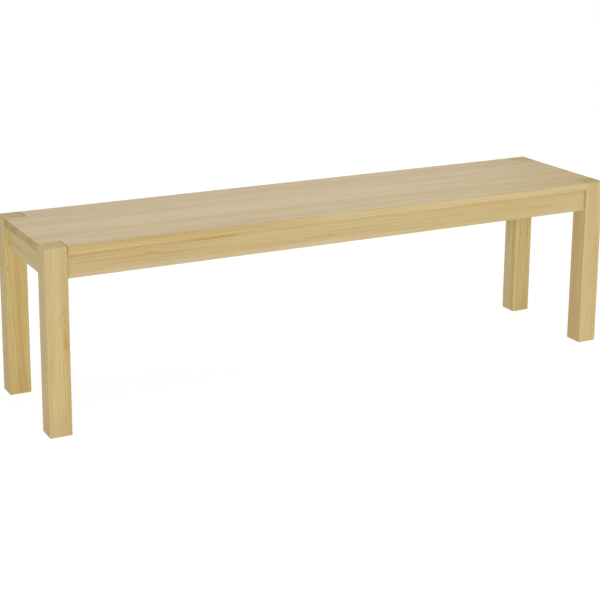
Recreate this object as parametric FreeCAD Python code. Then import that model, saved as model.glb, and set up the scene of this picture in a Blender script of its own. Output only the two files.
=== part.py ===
import FreeCAD, Part
import os
from math import sqrt

# A solid pine dining bench. Four square legs run up through notches in the corners of an edge-glued
# seat, and finish flush with its top. Aprons run between the legs, just inside their outer faces.
# Under the seat, corner blocks are keyed into the aprons, and hanger bolts pull the legs into the
# corners. Cross rails, housed in the long aprons, stiffen the seat, and screws hold it down.
# X runs along the bench, Y from the front to the rear, Z up from the floor. Sizes are millimetres.

# The whole bench
bench_length = 1600.0
bench_depth = 370.0
bench_height = 460.0

# Legs
leg_size = 55.0
leg_arris_round = 2.0
leg_top_chamfer = 1.0
foot_chamfer = 1.5
leg_flat = 10.0

# Seat panel
seat_thickness = 20.0
seat_upper_round = 2.5
seat_lower_chamfer = 1.0
seat_notch_gap = 0.8
notch_edge_chamfer = 0.6
front_stave_neck = 10.0
rear_stave_neck = 28.0
inner_stave_count = 3

# Aprons
apron_height = 60.0
apron_thickness = 20.0
apron_recess = 10.0
apron_lower_round = 3.0

# Cross rails under the seat
rail_width = 45.0
rail_height = 40.0
rail_spacing = 520.0
rail_edge_round = 2.0
rail_housing_depth = 6.0

# Corner blocks, with a tongue at each end
block_thickness = 24.0
block_height = 40.0
tongue_width = 9.0
tongue_depth = 6.0

# Hanger bolts with a washer and a nut each
bolt_diameter = 8.0
bolt_tip_length = 9.0
bolt_tip_diameter = 3.0
bolt_end_cover = 18.0
bolt_stick_out = 3.0
washer_diameter = 24.0
washer_thickness = 2.0
nut_across_flats = 13.0
nut_height = 6.5

# Seat screws
screw_diameter = 4.0
screw_head_diameter = 8.0
screw_head_height = 2.6
screw_tip_length = 4.0
screw_end_cover = 7.0
block_screw_offset = 18.0

# Clearances
tongue_clearance = 0.1
housing_clearance = 0.1
bolt_clearance = 0.1
bolt_hole_clearance = 0.5
screw_clearance = 0.1
hole_end_room = 1.0

# Places that follow from the sizes. A corner is worked out at the front left, where u runs in from
# the left ends of the legs and v from their front faces.
left = -bench_length / 2
front = -bench_depth / 2
apron_top = bench_height - seat_thickness
apron_bottom = apron_top - apron_height
apron_inside = apron_recess + apron_thickness
notch_size = leg_size + seat_notch_gap
block_bottom = apron_top - block_height
block_outer_sum = 2 * leg_size - leg_flat
block_inner_sum = block_outer_sum + block_thickness * sqrt(2)
tongue_middle = (block_outer_sum + block_inner_sum) / 2 - apron_inside
bolt_height = block_bottom + block_height / 2
bolt_tip = bolt_end_cover * sqrt(2)
bolt_flat = block_outer_sum / sqrt(2)
rail_bottom = apron_top - rail_height
rail_end = bench_depth / 2 - apron_inside
rail_left = -(rail_spacing + rail_width) / 2
rail_right = rail_left + rail_width
screw_bite = seat_thickness - screw_end_cover

origin = FreeCAD.Vector(0, 0, 0)
along_x = FreeCAD.Vector(1, 0, 0)
along_y = FreeCAD.Vector(0, 1, 0)
up = FreeCAD.Vector(0, 0, 1)
diagonal = FreeCAD.Vector(1, 1, 0).normalize()


def corner_point(u, v, z):
    """The point of the front left corner that lies u and v inside the leg's outer faces."""
    return FreeCAD.Vector(left + u, front + v, z)


def on_diagonal(distance):
    """A point of the front left bolt's axis, by its distance from the leg's outer corner."""
    return corner_point(0, 0, bolt_height) + diagonal * distance


def box(low, high):
    """A box between its lowest and highest corners."""
    size = high - low
    return Part.makeBox(size.x, size.y, size.z, low)


def prism(points, height):
    """A flat outline carried straight up."""
    outline = Part.makePolygon(points + points[:1])
    return Part.Face(outline).extrude(up * height)


def turned(profile, start, direction):
    """A turned piece: its half section, as radius and distance along the axis, swept round."""
    points = [FreeCAD.Vector(radius, 0, along) for radius, along in profile]
    outline = Part.makePolygon(points + points[:1])
    solid = Part.Face(outline).revolve(origin, up, 360)
    solid.Placement = FreeCAD.Placement(start, FreeCAD.Rotation(up, direction))
    return solid


def hole(diameter, clearance, start, direction, depth):
    """The round space that a bolt or screw of a diameter needs, from its mouth inwards."""
    return Part.makeCylinder(diameter / 2 + clearance, depth, start, direction)


def edges_where(shape, test):
    """The edges of a shape whose box passes a test."""
    return [edge for edge in shape.Edges if test(edge.BoundBox)]


def is_upright(edge_box):
    """Whether an edge runs straight up."""
    return edge_box.ZLength > 1 and edge_box.XLength < 0.01 and edge_box.YLength < 0.01


def at_height(height):
    """A test for edges that lie level at one height."""
    return lambda edge_box: abs(edge_box.ZMin - height) < 0.01 and abs(edge_box.ZMax - height) < 0.01


def round_long_lower_edges(board, radius):
    """Rounds the two long lower edges of a level board."""
    size = max(board.BoundBox.XLength, board.BoundBox.YLength)
    lower = edges_where(board, at_height(board.BoundBox.ZMin))
    return board.makeFillet(radius, [edge for edge in lower if edge.Length > size / 2])


def to_right(shape):
    """The same shape at the other end of the bench."""
    return shape.mirror(origin, along_x)


def to_rear(shape):
    """The same shape at the rear of the bench."""
    return shape.mirror(origin, along_y)


def both_ends(shape):
    """A shape of the left end and its copy at the right end."""
    return [shape, to_right(shape)]


def front_and_rear(shape):
    """A shape of the front and its copy at the rear."""
    return [shape, to_rear(shape)]


def all_corners(shape):
    """A shape of the front left corner and its copies at the other three."""
    return both_ends(shape) + both_ends(to_rear(shape))


# Legs
def make_leg():
    """The front left leg, with eased arrises, a flat for the corner block and the bolt's hole."""
    leg = box(corner_point(0, 0, 0), corner_point(leg_size, leg_size, bench_height))
    leg = leg.makeFillet(leg_arris_round, edges_where(leg, is_upright))
    leg = leg.makeChamfer(leg_top_chamfer, edges_where(leg, at_height(bench_height)))
    leg = leg.makeChamfer(foot_chamfer, edges_where(leg, at_height(0)))
    flat = [
        corner_point(leg_size - leg_flat, leg_size, block_bottom),
        corner_point(leg_size, leg_size - leg_flat, block_bottom),
        corner_point(leg_size, leg_size, block_bottom),
    ]
    leg = leg.cut(prism(flat, block_height))
    bottom = bolt_tip - hole_end_room
    depth = bolt_flat + hole_end_room - bottom
    return leg.cut(hole(bolt_diameter, bolt_clearance, on_diagonal(bottom), diagonal, depth))


# Corner blocks and what clamps the legs to them
def block_tongue(clearance):
    """The front left block's tongue in the front apron, or its groove where it has a clearance."""
    half = tongue_width / 2 + clearance
    low = corner_point(tongue_middle - half, apron_inside - tongue_depth - clearance, block_bottom)
    high = corner_point(tongue_middle + half, apron_inside, apron_top)
    return box(low, high)


def to_left_apron(shape):
    """A shape of the front left corner, turned over the diagonal from the front to the left apron."""
    return shape.mirror(corner_point(0, 0, 0), FreeCAD.Vector(1, -1, 0))


def block_screw_place():
    """Where the seat screw in the front left block has its head, on the block's lower face."""
    middle = (block_outer_sum + block_inner_sum) / 4
    aside = block_screw_offset / sqrt(2)
    return corner_point(middle + aside, middle - aside, block_bottom)


def make_block():
    """The front left corner block, with its tongues, its bolt hole and its seat screw's hole."""
    outline = [
        corner_point(block_outer_sum - apron_inside, apron_inside, block_bottom),
        corner_point(block_inner_sum - apron_inside, apron_inside, block_bottom),
        corner_point(apron_inside, block_inner_sum - apron_inside, block_bottom),
        corner_point(apron_inside, block_outer_sum - apron_inside, block_bottom),
    ]
    block = prism(outline, block_height)
    tongue = block_tongue(0)
    block = block.fuse([tongue, to_left_apron(tongue)]).removeSplitter()
    start = on_diagonal(bolt_flat - hole_end_room)
    through = block_thickness + 2 * hole_end_room
    block = block.cut(hole(bolt_diameter, bolt_hole_clearance, start, diagonal, through))
    return block.cut(shank_room(block_screw_place()))


def make_bolt():
    """The front left hanger bolt: pointed in the leg, and straight through block, washer and nut."""
    radius = bolt_diameter / 2
    end = bolt_flat + block_thickness + washer_thickness + nut_height + bolt_stick_out
    length = end - bolt_tip
    profile = [
        (0, 0),
        (bolt_tip_diameter / 2, 0),
        (radius, bolt_tip_length),
        (radius, length),
        (0, length),
    ]
    return turned(profile, on_diagonal(bolt_tip), diagonal)


def make_washer():
    """The washer on the inner face of the front left corner block."""
    start = on_diagonal(bolt_flat + block_thickness)
    disc = Part.makeCylinder(washer_diameter / 2, washer_thickness, start, diagonal)
    return disc.cut(hole(bolt_diameter, bolt_hole_clearance, start, diagonal, washer_thickness))


def make_nut():
    """The hexagon nut against the front left washer, with the corners of its outer face turned off."""
    narrow = nut_across_flats / 2
    wide = nut_across_flats / sqrt(3)
    corners = [FreeCAD.Rotation(up, 60 * turn).multVec(along_x * wide) for turn in range(6)]
    cone = turned([(0, 0), (narrow + nut_height, 0), (narrow, nut_height), (0, nut_height)], origin, up)
    nut = prism(corners, nut_height).common(cone)
    nut = nut.cut(hole(bolt_diameter, bolt_clearance, origin, up, nut_height))
    start = on_diagonal(bolt_flat + block_thickness + washer_thickness)
    nut.Placement = FreeCAD.Placement(start, FreeCAD.Rotation(up, diagonal))
    return nut


# Aprons
def make_front_apron():
    """The front apron, with rounded lower edges, grooves for the blocks and housings for the rails."""
    low = corner_point(leg_size, apron_recess, apron_bottom)
    high = FreeCAD.Vector(-left - leg_size, front + apron_inside, apron_top)
    apron = round_long_lower_edges(box(low, high), apron_lower_round)
    grooves = both_ends(block_tongue(tongue_clearance))
    housings = both_ends(rail_housing())
    return apron.cut(grooves + housings)


def make_left_apron():
    """The left end apron, with rounded lower edges and grooves for the blocks."""
    low = corner_point(apron_recess, leg_size, apron_bottom)
    high = FreeCAD.Vector(left + apron_inside, -front - leg_size, apron_top)
    apron = round_long_lower_edges(box(low, high), apron_lower_round)
    groove = to_left_apron(block_tongue(tongue_clearance))
    return apron.cut(front_and_rear(groove))


# Cross rails
def rail_housing():
    """The space in the front apron for the end of the left cross rail, open at the top."""
    low = FreeCAD.Vector(rail_left - housing_clearance, -rail_end - rail_housing_depth, rail_bottom)
    high = FreeCAD.Vector(rail_right + housing_clearance, -rail_end, apron_top)
    return box(low, high)


def rail_screw_place():
    """Where the seat screw in the left cross rail has its head, amid the rail's lower face."""
    return FreeCAD.Vector(-rail_spacing / 2, 0, rail_bottom)


def make_left_rail():
    """The left cross rail, with rounded lower edges and the hole of its seat screw."""
    reach = rail_end + rail_housing_depth
    low = FreeCAD.Vector(rail_left, -reach, rail_bottom)
    high = FreeCAD.Vector(rail_right, reach, apron_top)
    rail = round_long_lower_edges(box(low, high), rail_edge_round)
    return rail.cut(shank_room(rail_screw_place()))


# Seat screws
def screw_length(place):
    """How far a seat screw reaches from under its head into the seat."""
    return apron_top - place.z + screw_bite


def seat_screw(place):
    """A flat head screw whose head bears upwards on the wood at its place."""
    shank = screw_diameter / 2
    head = screw_head_diameter / 2
    length = screw_length(place)
    profile = [
        (0, -screw_head_height),
        (head, -screw_head_height),
        (head, 0),
        (shank, 0),
        (shank, length - screw_tip_length),
        (0, length),
    ]
    return turned(profile, place, up)


def shank_room(place):
    """The hole that a seat screw's shank needs along its whole length."""
    return hole(screw_diameter, screw_clearance, place, up, screw_length(place) + hole_end_room)


def seat_screw_places():
    """Where all the seat screws have their heads: under the blocks and under the rails."""
    first = block_screw_place()
    in_blocks = [FreeCAD.Vector(first.x * x, first.y * y, first.z) for x in (1, -1) for y in (1, -1)]
    middle = rail_screw_place()
    in_rails = [FreeCAD.Vector(middle.x * x, middle.y, middle.z) for x in (1, -1)]
    return in_blocks + in_rails


# Seat
def notch():
    """The space of the front left notch in the seat, with its upper edges eased."""
    margin = seat_upper_round
    flare = 2 * notch_edge_chamfer
    size = notch_size + margin
    straight = box(
        corner_point(-margin, -margin, apron_top - margin),
        corner_point(notch_size, notch_size, bench_height + margin),
    )
    eased = Part.makeWedge(0, 0, 0, 0, 0, size, flare, size, size + flare, size + flare)
    eased.rotate(origin, along_x, 90)
    eased = eased.mirror(origin, along_y)
    eased.translate(corner_point(-margin, -margin, bench_height - notch_edge_chamfer))
    return straight.fuse(eased)


def make_seat_panel():
    """The whole glued panel, with eased outer edges, notched corners and blind screw holes."""
    panel = box(corner_point(0, 0, apron_top), FreeCAD.Vector(-left, -front, bench_height))
    panel = panel.makeFillet(seat_upper_round, edges_where(panel, at_height(bench_height)))
    panel = panel.makeChamfer(seat_lower_chamfer, edges_where(panel, at_height(apron_top)))
    panel = panel.cut(all_corners(notch()))
    return panel.cut([shank_room(place) for place in seat_screw_places()])


def stave_widths():
    """The staves' widths from the front: the outer ones take the notches, the inner ones are equal."""
    front_width = notch_size + front_stave_neck
    rear_width = notch_size + rear_stave_neck
    inner_width = (bench_depth - front_width - rear_width) / inner_stave_count
    return [front_width] + [inner_width] * inner_stave_count + [rear_width]


def make_staves():
    """The seat panel cut along its glue lines, by name from the front to the rear."""
    panel = make_seat_panel()
    inner_names = ["seat_inner_stave_%d" % (place + 1) for place in range(inner_stave_count)]
    names = ["seat_front_stave"] + inner_names + ["seat_rear_stave"]
    staves = {}
    edge = front
    for name, width in zip(names, stave_widths()):
        low = FreeCAD.Vector(left, edge, apron_top)
        high = FreeCAD.Vector(-left, edge + width, bench_height)
        staves[name] = panel.common(box(low, high))
        edge += width
    return staves


# The finished set of pieces
def corner_pieces(piece, shape):
    """One named piece at each corner of the bench."""
    return {
        "front_left_" + piece: shape,
        "front_right_" + piece: to_right(shape),
        "rear_left_" + piece: to_rear(shape),
        "rear_right_" + piece: to_rear(to_right(shape)),
    }


def make_bench():
    """Every piece of the bench by name, with equal fixings as one group of separate solids."""
    pieces = make_staves()
    pieces.update(corner_pieces("leg", make_leg()))
    pieces["front_apron"], pieces["rear_apron"] = front_and_rear(make_front_apron())
    pieces["left_apron"], pieces["right_apron"] = both_ends(make_left_apron())
    pieces["left_cross_rail"], pieces["right_cross_rail"] = both_ends(make_left_rail())
    pieces.update(corner_pieces("corner_block", make_block()))
    pieces["hanger_bolts"] = Part.makeCompound(all_corners(make_bolt()))
    pieces["bolt_washers"] = Part.makeCompound(all_corners(make_washer()))
    pieces["bolt_nuts"] = Part.makeCompound(all_corners(make_nut()))
    pieces["seat_screws"] = Part.makeCompound([seat_screw(place) for place in seat_screw_places()])
    return pieces


os.makedirs("parts", exist_ok=True)
for name, shape in make_bench().items():
    shape.exportStep("parts/" + name + ".step")
    print(name, len(shape.Solids), "solids", round(shape.Volume / 1000, 1), "cm3")
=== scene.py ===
"""Looks of a plain solid-pine dining bench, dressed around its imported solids.

Every board keeps its solid and gets the figure of one sawn piece of pine: growth rings round its
own pith, branch knots that draw the rings out, fibres, resin streaks and end grain. The bolts,
washers, nuts and screws below the seat are modelled here and stand for their plain solids.
"""

import logging
import math
from collections.abc import Callable, Iterable
from dataclasses import dataclass, fields
from enum import Enum
from functools import reduce
from typing import Any

import bmesh
import bpy
from mathutils import Euler, Matrix, Vector


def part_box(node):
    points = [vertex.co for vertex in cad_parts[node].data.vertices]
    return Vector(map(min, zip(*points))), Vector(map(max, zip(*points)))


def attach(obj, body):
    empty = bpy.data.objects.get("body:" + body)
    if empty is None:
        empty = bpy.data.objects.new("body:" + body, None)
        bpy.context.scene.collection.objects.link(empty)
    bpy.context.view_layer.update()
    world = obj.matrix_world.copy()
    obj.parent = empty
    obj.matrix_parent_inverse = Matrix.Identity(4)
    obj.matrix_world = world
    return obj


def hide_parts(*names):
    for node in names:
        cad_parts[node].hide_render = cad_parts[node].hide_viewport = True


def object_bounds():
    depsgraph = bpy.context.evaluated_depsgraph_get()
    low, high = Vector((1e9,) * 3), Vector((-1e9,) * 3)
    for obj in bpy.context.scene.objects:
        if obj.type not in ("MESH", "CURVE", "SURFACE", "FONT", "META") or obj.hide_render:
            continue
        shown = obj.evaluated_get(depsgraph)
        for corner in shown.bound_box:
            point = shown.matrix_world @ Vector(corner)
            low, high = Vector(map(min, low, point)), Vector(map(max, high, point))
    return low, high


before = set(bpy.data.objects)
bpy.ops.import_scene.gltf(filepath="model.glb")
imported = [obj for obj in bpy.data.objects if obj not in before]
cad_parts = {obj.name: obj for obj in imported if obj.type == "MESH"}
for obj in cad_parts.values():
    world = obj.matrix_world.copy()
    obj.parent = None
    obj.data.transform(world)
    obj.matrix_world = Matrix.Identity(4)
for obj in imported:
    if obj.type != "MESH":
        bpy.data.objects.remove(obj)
CAD_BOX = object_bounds()
BODY = "root"
FRONT = CAD_BOX[0].y
APRON_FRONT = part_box("front_apron")[0].y
TOUCH = 1.0e-6

log = logging.getLogger("pine_bench")

Point = tuple[float, float, float]
Colour = tuple[float, float, float, float]
Span = tuple[float, float]
Output = bpy.types.NodeSocket
# What may feed the input of a shader node: an output of another node, or a plain value.
Source = Output | float | tuple[float, ...] | Vector | Euler
Sources = dict[str | int, Source]

RISING: Span = (0.0, 1.0)
FALLING: Span = (1.0, 0.0)


def linear(red: float, green: float, blue: float) -> Colour:
    """Turns a colour as seen on a screen into the linear colour that a shader takes.

    Args:
        red: Red, from 0 to 255.
        green: Green, from 0 to 255.
        blue: Blue, from 0 to 255.

    Returns:
        The linear colour by the sRGB curve, with full alpha.
    """
    parts = []
    for value in (red, green, blue):
        share = value / 255.0
        parts.append(share / 12.92 if share <= 0.04045 else ((share + 0.055) / 1.055) ** 2.4)
    return (parts[0], parts[1], parts[2], 1.0)


def toward(azimuth: float, elevation: float) -> Vector:
    """Finds the way from the bench to something that stands round it.

    Args:
        azimuth: Turn round the bench from its front, in degrees, negative to the left.
        elevation: Height angle above the floor, in degrees.

    Returns:
        The way, of unit length.
    """
    turn = math.radians(azimuth)
    rise = math.radians(elevation)
    return Vector((math.sin(turn) * math.cos(rise), -math.cos(turn) * math.cos(rise), math.sin(rise)))


def wear(piece: bpy.types.Object, material: bpy.types.Material) -> None:
    """Gives a piece one material in place of any other."""
    piece.data.materials.clear()
    piece.data.materials.append(material)


class Socket(Enum):
    """Kinds of socket on a shader node group."""

    VALUE = "NodeSocketFloat"
    VECTOR = "NodeSocketVector"
    COLOUR = "NodeSocketColor"


class Blend(Enum):
    """How a colour goes on another."""

    COVER = "MIX"
    DARKEN = "MULTIPLY"


@dataclass(frozen=True)
class Tone:
    """A colour in the wood and how it goes on.

    Attributes:
        colour: The colour.
        share: How strongly it goes on at most, from 0 to 1.
        blend: How it goes on.
    """

    colour: Colour
    share: float = 1.0
    blend: Blend = Blend.COVER


class NodeSketch:
    """A node tree in the making, with short ways to add nodes and join them.

    Attributes:
        COLUMN: Width of a column of nodes in the editor.
        HALF: What noise is on average.
        MIX_INPUTS: Where a colour mix has its share, first and second colour.
        MIX_OUTPUT: Where it has its result.
        RAMP_INPUTS: What a smooth step reads, in the order of its arguments here.
        NUMBERS: The vector operations that give a number.
    """

    COLUMN = 180.0
    HALF = 0.5
    MIX_INPUTS = (0, 6, 7)
    MIX_OUTPUT = 2
    RAMP_INPUTS = ("Value", "From Min", "From Max", "To Min", "To Max")
    NUMBERS = ("LENGTH", "DOT_PRODUCT")

    def __init__(self, tree: bpy.types.NodeTree) -> None:
        """Starts on an existing tree."""
        self.tree = tree

    def add(self, kind: str, sources: Sources | None = None, **settings: Any) -> bpy.types.Node:
        """Adds one node.

        Args:
            kind: Blender's name for the node type.
            sources: What feeds its inputs.
            **settings: Properties of the node to set.

        Returns:
            The new node.
        """
        node = self.tree.nodes.new(kind)
        node.location = (self.COLUMN * len(self.tree.nodes), 0.0)
        for name, value in settings.items():
            setattr(node, name, value)
        self.fill(node, sources or {})
        return node

    def feed(self, socket: bpy.types.NodeSocket, source: Source) -> None:
        """Links an input to another node, or sets it to a constant.

        Args:
            socket: The input to feed.
            source: What feeds it.
        """
        if isinstance(source, Output):
            self.tree.links.new(source, socket)
        else:
            socket.default_value = source

    def fill(self, node: bpy.types.Node, sources: Sources) -> None:
        """Feeds several inputs of a node, each found by its name or number."""
        for key, source in sources.items():
            self.feed(node.inputs[key], source)

    def math(self, operation: str, *values: Source) -> Output:
        """The result of an operation on numbers."""
        return self.add("ShaderNodeMath", dict(enumerate(values)), operation=operation).outputs["Value"]

    def plus(self, *values: Source) -> Output:
        """The sum of numbers."""
        return reduce(lambda left, right: self.math("ADD", left, right), values)

    def times(self, *values: Source) -> Output:
        """The product of numbers."""
        return reduce(lambda left, right: self.math("MULTIPLY", left, right), values)

    def minus(self, first: Source, second: Source) -> Output:
        """The first number less the second."""
        return self.math("SUBTRACT", first, second)

    def over(self, first: Source, second: Source) -> Output:
        """The first number divided by the second."""
        return self.math("DIVIDE", first, second)

    def most(self, first: Source, second: Source) -> Output:
        """The larger of two numbers."""
        return self.math("MAXIMUM", first, second)

    def least(self, first: Source, second: Source) -> Output:
        """The smaller of two numbers."""
        return self.math("MINIMUM", first, second)

    def swing(self, value: Source, width: float) -> Output:
        """A number round a half turned into one round zero, as wide as wanted."""
        return self.times(self.minus(value, self.HALF), width)

    def weighed(self, start: float, parts: Iterable[tuple[Source, float]]) -> Output:
        """A first number and a share of each of several others, added up."""
        return reduce(lambda total, part: self.math("MULTIPLY_ADD", *part, total), parts, start)

    def vector(self, operation: str, *values: Source) -> Output:
        """The result of an operation on vectors, a number for a length or a dot product."""
        node = self.add("ShaderNodeVectorMath", dict(enumerate(values)), operation=operation)
        return node.outputs["Value" if operation in self.NUMBERS else "Vector"]

    def scaled(self, value: Source, factor: Source) -> Output:
        """A vector times a number."""
        node = self.add("ShaderNodeVectorMath", {0: value, "Scale": factor}, operation="SCALE")
        return node.outputs["Vector"]

    def split(self, value: Source) -> tuple[Output, ...]:
        """X, Y and Z of a vector."""
        return tuple(self.add("ShaderNodeSeparateXYZ", {0: value}).outputs)

    def joined(self, *parts: Source) -> Output:
        """A vector from its X, Y and Z, with zero for what is left off."""
        return self.add("ShaderNodeCombineXYZ", dict(enumerate(parts))).outputs["Vector"]

    def ramp(self, value: Source, span: tuple[Source, Source], ends: Span = RISING) -> Output:
        """A smooth step over a span of a value, from the first of two ends to the second."""
        sources = dict(zip(self.RAMP_INPUTS, (value, *span, *ends)))
        return self.add("ShaderNodeMapRange", sources, interpolation_type="SMOOTHSTEP").outputs["Result"]

    def noise(self, place: Source, pace: Source, seed: Source, detail: float = 2.0) -> bpy.types.Node:
        """Noise at a place, which changes with a pace to the metre along each axis."""
        sources = {"Vector": self.vector("MULTIPLY", place, pace), "W": seed, "Scale": 1.0}
        return self.add("ShaderNodeTexNoise", sources | {"Detail": detail}, noise_dimensions="4D")

    def mixed(self, share: Source, first: Source, second: Source, blend: Blend = Blend.COVER) -> Output:
        """Lays a share of one colour on another.

        Args:
            share: The share, from 0 to 1.
            first: The colour below.
            second: The colour on it.
            blend: How the second goes on the first.

        Returns:
            The mixed colour.
        """
        sources = dict(zip(self.MIX_INPUTS, (share, first, second)))
        node = self.add("ShaderNodeMix", sources, data_type="RGBA", blend_type=blend.value)
        return node.outputs[self.MIX_OUTPUT]

    def lay(self, under: Source, mask: Source, tone: Tone) -> Output:
        """A colour with a tone laid on where a mask shows it."""
        return self.mixed(self.times(mask, tone.share), under, tone.colour, tone.blend)

    def use(self, group: bpy.types.NodeTree, **sources: Source) -> bpy.types.Node:
        """Places a shared group, with underscores for the spaces in its inputs' names."""
        spaced = {name.replace("_", " "): source for name, source in sources.items()}
        return self.add("ShaderNodeGroup", spaced, node_tree=group)


class GroupSketch(NodeSketch):
    """A shader node group in the making, with named inputs and outputs."""

    def __init__(self, name: str) -> None:
        """Starts an empty group.

        Args:
            name: Its name.
        """
        super().__init__(bpy.data.node_groups.new(name, "ShaderNodeTree"))
        self.entry = self.add("NodeGroupInput")
        self.exit = self.add("NodeGroupOutput")

    def take(self, kind: Socket, *names: str) -> list[Output]:
        """Adds inputs.

        Args:
            kind: What they carry.
            *names: Their names.

        Returns:
            The sockets that carry them, in the same order.
        """
        for name in names:
            self.tree.interface.new_socket(name=name, in_out="INPUT", socket_type=kind.value)
        return [self.entry.outputs[name] for name in names]

    def give(self, kind: Socket, **sources: Output) -> None:
        """Adds outputs.

        Args:
            kind: What they carry.
            **sources: What feeds them, by name.
        """
        for name, source in sources.items():
            self.tree.interface.new_socket(name=name, in_out="OUTPUT", socket_type=kind.value)
            self.feed(self.exit.inputs[name], source)


class MaterialSketch(NodeSketch):
    """A material in the making."""

    def __init__(self, name: str) -> None:
        """Starts a material with its plain shader.

        Args:
            name: Its name.
        """
        self.material = bpy.data.materials.new(name)
        self.material.use_nodes = True
        super().__init__(self.material.node_tree)
        self.shader = self.tree.nodes["Principled BSDF"]


@dataclass(frozen=True)
class PineFinish:
    """The finish that all boards share: sanded pine under a clear matt oil.

    Attributes:
        early: Colour of the soft early wood.
        late: Colour of the hard late wood.
        broad: Tone of the broad bands along the grain.
        fibre: Tone of the fine fibres.
        canal: Tone of the resin canals.
        branch: Tone of the branch wood in a knot.
        rim: Tone of a knot's rim.
        resin: Tone of a resin streak, also used for painted shade.
        fleck: Tone of a dark fleck, also used for painted shade.
        pale: Tone of a pale streak, also used for painted light.
        end: Tone of the end grain against the wood's sides.
        sanded: Tone of the sanded band along an arris.
        handled: Tone of the thin line at an arris, which is painted shade.
        rough: Roughness of the oiled wood.
        rough_shares: What each part of the figure adds to it.
        relief_shares: What each part of the figure adds to the brushed relief.
        relief: Height of the relief, in metres.
        relief_strength: How strongly the relief shows.
        gloss: How strongly the oiled surface mirrors, where 0.5 is a full varnish.
    """

    early: Colour = linear(205, 186, 134)
    late: Colour = linear(188, 145, 80)
    broad: Tone = Tone(linear(247, 239, 231), 1.0, Blend.DARKEN)
    fibre: Tone = Tone(linear(240, 230, 212), 0.5, Blend.DARKEN)
    canal: Tone = Tone(linear(206, 176, 132), 0.35, Blend.DARKEN)
    branch: Tone = Tone(linear(184, 132, 74), 0.32)
    rim: Tone = Tone(linear(150, 98, 52), 0.28)
    resin: Tone = Tone(linear(194, 152, 70))
    fleck: Tone = Tone(linear(132, 92, 44))
    pale: Tone = Tone(linear(214, 200, 162))
    end: Colour = linear(253, 248, 247)
    sanded: Tone = Tone(linear(255, 240, 205), 0.05)
    # Painted shade: a thin dark line along every arris.
    handled: Tone = Tone(linear(176, 142, 98), 0.14, Blend.DARKEN)
    rough: float = 0.42
    rough_shares: tuple[tuple[str, float], ...] = (
        ("Fine", 0.12), ("Latewood", -0.07), ("End", 0.14), ("Resin", -0.1), ("Band", 0.05),
    )
    relief_shares: tuple[tuple[str, float], ...] = (
        ("Latewood", 0.6), ("Fine", 0.5), ("Canal", -0.5), ("Core", 0.5),
    )
    relief: float = 0.00012
    relief_strength: float = 0.5
    gloss: float = 0.12


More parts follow.
